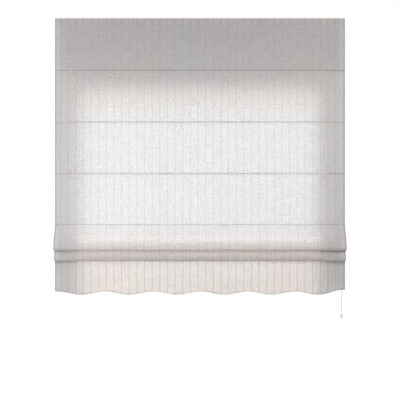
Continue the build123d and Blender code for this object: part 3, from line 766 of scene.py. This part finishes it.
dress(ring_plastic, "bottom_rings", "cord_orbs", *[f"rings_{n}" for n in range(1, 6)])

# Seams: a machine-sewn running stitch of polyester thread on each rod line and along the heading.
# Each stitch is a short tube of thread that bows out of the cloth; Geometry Nodes lays them along a seam.
thread, tree = new_material("polyester_thread")
place = add(tree, "ShaderNodeTexCoord").outputs["Object"]
ply = add(tree, "ShaderNodeTexNoise", Vector=place, Scale=1 / (0.25 * MM), Detail=2.0)
tone = two_tone(tree, ply.outputs["Fac"], "#BFB3A6", "#D8CEC3")
relief = add(tree, "ShaderNodeBump", Height=ply.outputs["Fac"], Strength=0.5, Distance=0.05 * MM)
twist = add(
    tree, "ShaderNodeBsdfPrincipled", Roughness=0.55, Sheen_Weight=0.2,
    Base_Color=tone, Normal=relief.outputs[0],
)
add(tree, "ShaderNodeOutputMaterial", Surface=twist.outputs[0])

stitch_sizes = {"Pitch": 4.0 * MM, "Stitch Length": 2.9 * MM, "Thread Radius": 0.24 * MM}
stitcher = bpy.data.node_groups.new("running_stitch", "GeometryNodeTree")
stitcher.interface.new_socket("Seam", in_out="INPUT", socket_type="NodeSocketGeometry")
stitch_inputs = {}
for label, size in stitch_sizes.items():
    socket = stitcher.interface.new_socket(label, in_out="INPUT", socket_type="NodeSocketFloat")
    stitch_inputs[socket.identifier] = size
stitcher.interface.new_socket("Stitches", in_out="OUTPUT", socket_type="NodeSocketGeometry")
given = add(stitcher, "NodeGroupInput").outputs
seam_curve = add(stitcher, "GeometryNodeMeshToCurve", Mesh=given["Seam"])
spaced = add(
    stitcher, "GeometryNodeResampleCurve", {"mode": "LENGTH"},
    Curve=seam_curve.outputs[0], Length=given["Pitch"],
)
tangent = add(stitcher, "GeometryNodeInputTangent")
turned = add(stitcher, "FunctionNodeAlignRotationToVector", {"axis": "X"}, Vector=tangent.outputs[0])
ends = []
for half in (-0.5, 0.5):
    end_x = add(
        stitcher, "ShaderNodeMath", {"operation": "MULTIPLY"}, in_0=given["Stitch Length"], in_1=half,
    )
    ends.append(add(stitcher, "ShaderNodeCombineXYZ", X=end_x.outputs[0]).outputs[0])
bow = add(stitcher, "ShaderNodeMath", {"operation": "MULTIPLY"}, in_0=given["Thread Radius"], in_1=-1.0)
middle = add(stitcher, "ShaderNodeCombineXYZ", Y=bow.outputs[0])
one_stitch = add(
    stitcher, "GeometryNodeCurveQuadraticBezier", Resolution=5,
    Start=ends[0], Middle=middle.outputs[0], End=ends[1],
)
round_thread = add(stitcher, "GeometryNodeCurvePrimitiveCircle", Resolution=6, Radius=given["Thread Radius"])
solid_stitch = add(
    stitcher, "GeometryNodeCurveToMesh", Fill_Caps=True,
    Curve=one_stitch.outputs[0], Profile_Curve=round_thread.outputs[0],
)
laid = add(
    stitcher, "GeometryNodeInstanceOnPoints", Points=spaced.outputs[0],
    Instance=solid_stitch.outputs[0], Rotation=turned.outputs[0],
)
real = add(stitcher, "GeometryNodeRealizeInstances", Geometry=laid.outputs[0])
sewn = add(stitcher, "GeometryNodeSetMaterial", Geometry=real.outputs[0], Material=thread)
add(stitcher, "NodeGroupOutput", in_0=sewn.outputs[0])


def final_mesh(piece):
    """New mesh of a piece in its final form, with its modifiers and its cord's thickness applied."""
    shown = piece.evaluated_get(bpy.context.evaluated_depsgraph_get())
    return bpy.data.meshes.new_from_object(shown)


def sew(name, seams, body):
    """Running stitches along seams, each a list of points, made one plain mesh that rides on a body."""
    points, edges = [], []
    for seam in seams:
        edges += [(len(points) + step, len(points) + step + 1) for step in range(len(seam) - 1)]
        points += seam
    mesh = bpy.data.meshes.new(name)
    mesh.from_pydata(points, edges, [])
    piece = bpy.data.objects.new(name, mesh)
    bpy.context.collection.objects.link(piece)
    stitching = piece.modifiers.new("stitches", "NODES")
    stitching.node_group = stitcher
    for identifier, size in stitch_inputs.items():
        stitching[identifier] = size
    piece.data = final_mesh(piece)
    piece.data.name = name
    piece.modifiers.clear()
    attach(piece, body)


cloth_front = cloth_back - cloth_thickness
seam_inset = 3 * MM
seam_half = cloth_half - seam_inset
seam_steps = 130
seam_x = [seam_half * (2 * step / seam_steps - 1) for step in range(seam_steps + 1)]
heading_levels = (heading_top - 4 * MM, heading_low + 1.5 * MM)
heading_seams = [[(x, cloth_front, z) for x in seam_x] for z in heading_levels]
sew("heading_stitches", heading_seams, "head")
for n in range(1, 5):
    line = rod_lines[n - 1]
    sew(f"rod_line_{n}_stitches", [[(x, cloth_front, line - droop(x, line)) for x in seam_x]], f"pleat_{n}")

# Lift cords: four braided polyester cords, from the balls up through the rings, over the guides into
# the rail, and along it to the lock. Drawn up, each shortens at the back and runs out over the lock.
braid, tree = new_material("braided_polyester_cord")
place = add(tree, "ShaderNodeTexCoord").outputs["Object"]
plait = add(tree, "ShaderNodeTexVoronoi", Vector=place, Scale=1 / (0.8 * MM))
tone = two_tone(tree, plait.outputs["Distance"], "#D4D4D8", "#B2B3BA")
relief = add(tree, "ShaderNodeBump", Height=plait.outputs["Distance"], Strength=0.6, Distance=0.15 * MM)
yarn = add(
    tree, "ShaderNodeBsdfPrincipled", Roughness=0.6, Sheen_Weight=0.15,
    Base_Color=tone, Normal=relief.outputs[0],
)
add(tree, "ShaderNodeOutputMaterial", Surface=yarn.outputs[0])


def new_cord(name, routes, radius):
    """Round cord along one smooth spline per route of points."""
    line = bpy.data.curves.new(name, "CURVE")
    line.dimensions = "3D"
    for route in routes:
        spline = line.splines.new("NURBS")
        spline.points.add(len(route) - 1)
        for point, spot in zip(spline.points, route):
            point.co = (*spot, 1.0)
        spline.order_u = 3
        spline.use_endpoint_u = True
        spline.resolution_u = 6
    line.bevel_depth = radius
    line.bevel_resolution = 2
    line.use_fill_caps = True
    line.materials.append(braid)
    piece = bpy.data.objects.new(name, line)
    bpy.context.collection.objects.link(piece)
    return piece


def as_mesh(curve_piece):
    """The same cord as a plain mesh piece of the same name."""
    name = curve_piece.name
    mesh = final_mesh(curve_piece)
    line = curve_piece.data
    bpy.data.objects.remove(curve_piece)
    bpy.data.curves.remove(line)
    mesh.name = name
    piece = bpy.data.objects.new(name, mesh)
    bpy.context.collection.objects.link(piece)
    return piece


cord_radius = 0.6 * MM
cord_x = [x * MM for x in (-520, -520 / 3, 520 / 3, 520)]
pull_y = -15.5 * MM
cord_gap = 1.5 * MM
cord_y = [pull_y + cord_gap * (k - 1.5) for k in range(4)]
rail_run_z = 23 * MM
bend_near, bend_far = 6 * MM, 24 * MM
turn_foot = 6 * MM
cord_foot = -990 * MM
orb_top = -998.2 * MM
overlap_top = -760 * MM
fall_middle, end_middle, lead_middle = -400 * MM, -900 * MM, -200 * MM
end_thinner = 0.02 * MM
lock_x = 638.5 * MM
connector_top = -391 * MM
cord_nodes = [f"lift_cord_{k}" for k in range(1, 5)]


def upright(x, y, *levels):
    """Points of a cord that hangs straight down through levels."""
    return [(x, y, z) for z in levels]


fall_routes = [upright(x, y, rail_run_z, fall_middle, cord_foot) for x, y in zip(cord_x, cord_y)]
falls = as_mesh(new_cord("lift_cord_falls", fall_routes, cord_radius))
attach(falls, "head")
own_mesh(falls)
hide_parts(*cord_nodes)

end_routes = [upright(x, y, overlap_top, end_middle, orb_top) for x, y in zip(cord_x, cord_y)]
cord_ends = as_mesh(new_cord("lift_cord_ends", end_routes, cord_radius - end_thinner))
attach(cord_ends, "bottom")
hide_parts(*cord_nodes)

rail_routes = []
for x, y in zip(cord_x, cord_y):
    along = (x + bend_near, x + bend_far, lock_x - bend_far, lock_x - bend_near)
    rail_routes.append([
        *upright(x, y, turn_foot, rail_run_z - bend_near, rail_run_z),
        *[(bend, y, rail_run_z) for bend in along],
        *upright(lock_x, y, rail_run_z, rail_run_z - bend_near, turn_foot),
    ])
rail_run = as_mesh(new_cord("lift_cord_rail_run", rail_routes, cord_radius))
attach(rail_run, "head")
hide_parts(*cord_nodes)

lead_routes = [upright(lock_x, y, turn_foot, lead_middle, connector_top) for y in cord_y]
leads = as_mesh(new_cord("lift_cord_leads", lead_routes, cord_radius))
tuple(lead_routes[0][0])
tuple(lead_routes[0][-1])
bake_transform(leads)
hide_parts(*cord_nodes)

# Pull cord: the four lift cords meet in a small plastic connector, and a single thicker braided cord
# hangs from it, with a moulded bell to hold, which sits on the knot at the cord's end.
pull_radius = 0.9 * MM
connector_foot = -415 * MM
pull_end = -1300 * MM
pull_levels = (connector_foot, -700 * MM, -1000 * MM, pull_end)
pull_cord = new_cord("pull_cord_braid", [upright(lock_x, pull_y, *pull_levels)], pull_radius)
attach(pull_cord, "pull")
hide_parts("pull_cord")

bell_plastic, tree = new_material("tinted_abs_bell")
place = add(tree, "ShaderNodeTexCoord").outputs["Object"]
scuff = add(tree, "ShaderNodeTexNoise", Vector=place, Scale=1 / (2.5 * MM), Detail=4.0)
tone = two_tone(tree, scuff.outputs["Fac"], "#D3D7E0", "#E2E5EC")
gloss = add(tree, "ShaderNodeMapRange", Value=scuff.outputs["Fac"], To_Min=0.24, To_Max=0.42)
plastic = add(
    tree, "ShaderNodeBsdfPrincipled", IOR=1.52, Base_Color=tone, Roughness=gloss.outputs[0],
)
add(tree, "ShaderNodeOutputMaterial", Surface=plastic.outputs[0])
dress(bell_plastic, "pull_bell")
dress(braid, "pull_knot")

# Studio: a pale floor well below the blind, soft lamps, and the camera square on to the cloth.
# Flat lamps behind it stand for the daylight that comes through, little of it above the second pleat,
# and two strips inside the gathered folds for the part of it that gets between their layers.
def background_rays(tree):
    """1 for rays that see the background, also mirrored or through a clear piece, and 0 for all others."""
    rays = add(tree, "ShaderNodeLightPath").outputs
    seen = rays["Is Camera Ray"]
    for other in ("Is Glossy Ray", "Is Transmission Ray"):
        seen = add(tree, "ShaderNodeMath", {"operation": "MAXIMUM"}, in_0=seen, in_1=rays[other]).outputs[0]
    return add(
        tree, "ShaderNodeMath", {"operation": "SUBTRACT", "use_clamp": True},
        in_0=seen, in_1=rays["Is Diffuse Ray"],
    ).outputs[0]


floor_drop = -2.6
floor_share, floor_glow = 0.85, 0.75
floor_corners = [(-4.0, -4.0), (4.0, -4.0), (4.0, 3.0), (-4.0, 3.0)]
floor_paint, tree = new_material("pale_floor_paint")
place = add(tree, "ShaderNodeTexCoord").outputs["Object"]
wash = add(tree, "ShaderNodeTexNoise", Vector=place, Scale=4.0, Detail=3.0)
tone = two_tone(tree, wash.outputs["Fac"], "#E9E8E6", "#EFEEEC")
matt = add(tree, "ShaderNodeBsdfPrincipled", Roughness=0.8, Base_Color=tone)
flood = add(tree, "ShaderNodeEmission", Color=tone, Strength=floor_glow)
flooded = add(
    tree, "ShaderNodeMath", {"operation": "MULTIPLY"}, in_0=background_rays(tree), in_1=floor_share,
)
lit_floor = add(
    tree, "ShaderNodeMixShader", Fac=flooded.outputs[0], in_1=matt.outputs[0], in_2=flood.outputs[0],
)
add(tree, "ShaderNodeOutputMaterial", Surface=lit_floor.outputs[0])
floor = new_piece("floor", [(x, y, floor_drop) for x, y in floor_corners], [(0, 1, 2, 3)], floor_paint)


def area_lamp(name, centre, size, power, colour, aim):
    """Soft rectangular lamp that the camera doesn't see, pointing along aim."""
    data = bpy.data.lights.new(name, "AREA")
    data.shape = "RECTANGLE"
    data.size, data.size_y = size
    data.energy = power
    data.color = paint(colour)[:3]
    lamp = bpy.data.objects.new(name, data)
    lamp.location = centre
    lamp.rotation_euler = Vector(aim).to_track_quat("-Z", "Y").to_euler()
    lamp.visible_camera = False
    bpy.context.collection.objects.link(lamp)


daylight_left, daylight_right = -547 * MM, 539 * MM
far_y = 16 * MM
to_room = (0, -1, 0)
for name, y, top, foot, level, colour in (
    ("daylight_top", far_y, -90 * MM, -272 * MM, 0.32, "#FFFAF6"),
    ("daylight_head", far_y, -272 * MM, -361 * MM, 3.7, "#FFFAF6"),
    ("daylight_middle", far_y, -361 * MM, -1010 * MM, 4.62, "#F0F8FF"),
    ("daylight_valance", far_y, -1010 * MM, -1330 * MM, 3.75, "#FFF8F3"),
    ("upper_fold_glow", -47 * MM, -943 * MM, -980 * MM, 2.15, "#FFF6F0"),
    ("lower_fold_glow", -38.5 * MM, -998 * MM, -1028 * MM, 1.5, "#FFEADC"),
):
    size = (daylight_right - daylight_left, top - foot)
    centre = ((daylight_left + daylight_right) / 2, y, (top + foot) / 2)
    area_lamp(name, centre, size, level * size[0] * size[1], colour, to_room)
for name, x, width, top, foot, level in (
    ("left_side", -625 * MM, 110 * MM, -200 * MM, -960 * MM, 1.3),
    ("right_side", 625 * MM, 110 * MM, -200 * MM, -960 * MM, 1.1),
    ("left_gap", -650 * MM, 50 * MM, 20 * MM, -200 * MM, 1.0),
    ("left_foot", -625 * MM, 110 * MM, -1110 * MM, -1330 * MM, 0.85),
    ("right_foot", 625 * MM, 110 * MM, -1120 * MM, -1330 * MM, 1.05),
):
    size = (width, top - foot)
    area_lamp(name, (x, far_y, (top + foot) / 2), size, level * size[0] * size[1], "#FFFFFF", to_room)
key_at, key_power = Vector((-1.2, -3.4, 2.1)), 78
area_lamp("key", key_at, (2.4, 1.6), key_power, "#F8FAFF", Vector((0, 0, -0.6)) - key_at)
for name, side, height, power in (("left_box", -1, -0.8, 13.0), ("right_box", 1, -0.3, 11.0)):
    box_at = Vector((1.3 * side, -1.3, height))
    area_lamp(name, box_at, (0.7, 1.0), power, "#FFFFFF", Vector((0.3 * side, 0, -0.9)) - box_at)

world = bpy.data.worlds.new("studio")
bpy.context.scene.world = world
world.use_nodes = True
tree = world.node_tree
tree.nodes.clear()
ambient_level, backdrop_level = 0.13, 1.0
ambient = add(tree, "ShaderNodeBackground", Color=paint("#FFFFFF"), Strength=ambient_level)
backdrop = add(tree, "ShaderNodeBackground", Color=paint("#FFFFFF"), Strength=backdrop_level)
sky = add(
    tree, "ShaderNodeMixShader", Fac=background_rays(tree),
    in_1=ambient.outputs[0], in_2=backdrop.outputs[0],
)
add(tree, "ShaderNodeOutputWorld", Surface=sky.outputs[0])
bpy.context.scene.view_settings.view_transform = "Standard"

camera_distance, camera_level, focal_length = 3.032, -0.7767, 60.147
lens = bpy.data.cameras.new("camera")
lens.lens = focal_length
lens.sensor_width = 36.0
camera = bpy.data.objects.new("camera", lens)
camera.location = (0.0, -camera_distance, camera_level)
camera.rotation_euler = (radians(90), 0.0, 0.0)
bpy.context.collection.objects.link(camera)
bpy.context.scene.camera = camera
